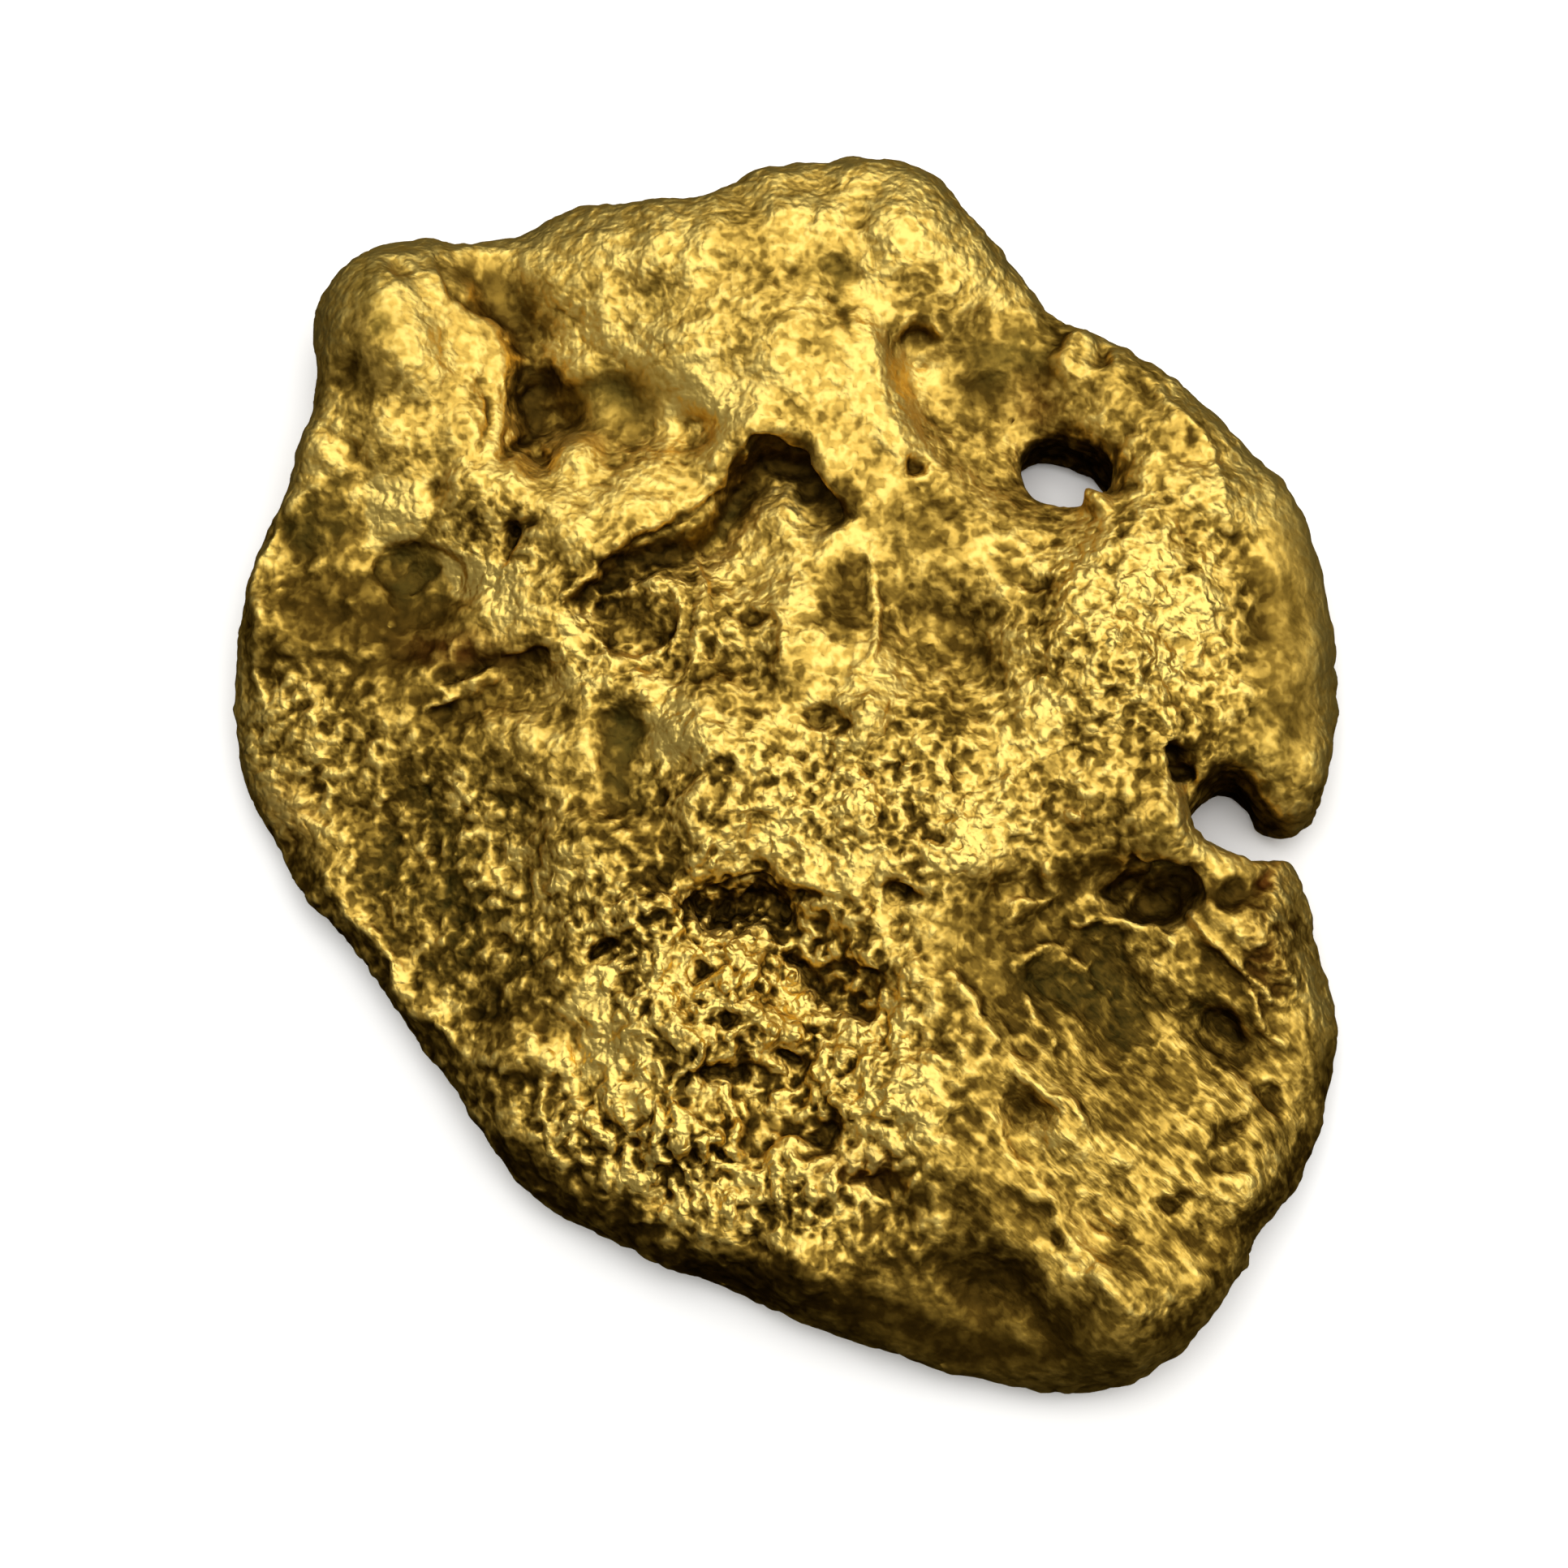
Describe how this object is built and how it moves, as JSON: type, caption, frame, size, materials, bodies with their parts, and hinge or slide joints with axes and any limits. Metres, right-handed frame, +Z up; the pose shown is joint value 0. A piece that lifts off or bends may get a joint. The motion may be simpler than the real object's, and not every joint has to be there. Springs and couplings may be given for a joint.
{
  "type": "gold nugget",
  "caption": "Flattened, water-worn native gold nugget with a folded top, pits, a small worn hole and a torn notch, lying on its worn underside.",
  "frame": {"origin": "middle of the nugget's extent, at the plane of the worn flats on its underside", "axes": "+Z up, out of the folded top; +Y from the pointed foot to the head, the nugget's longest extent; +X towards the side with the notch"},
  "size_m": [0.0142, 0.0162, 0.0023],
  "materials": {
    "gold": "native placer gold, satin and finely pitted from river wear"
  },
  "bodies": {
    "root": {"nugget": "gold"}
  },
  "joints": []
}
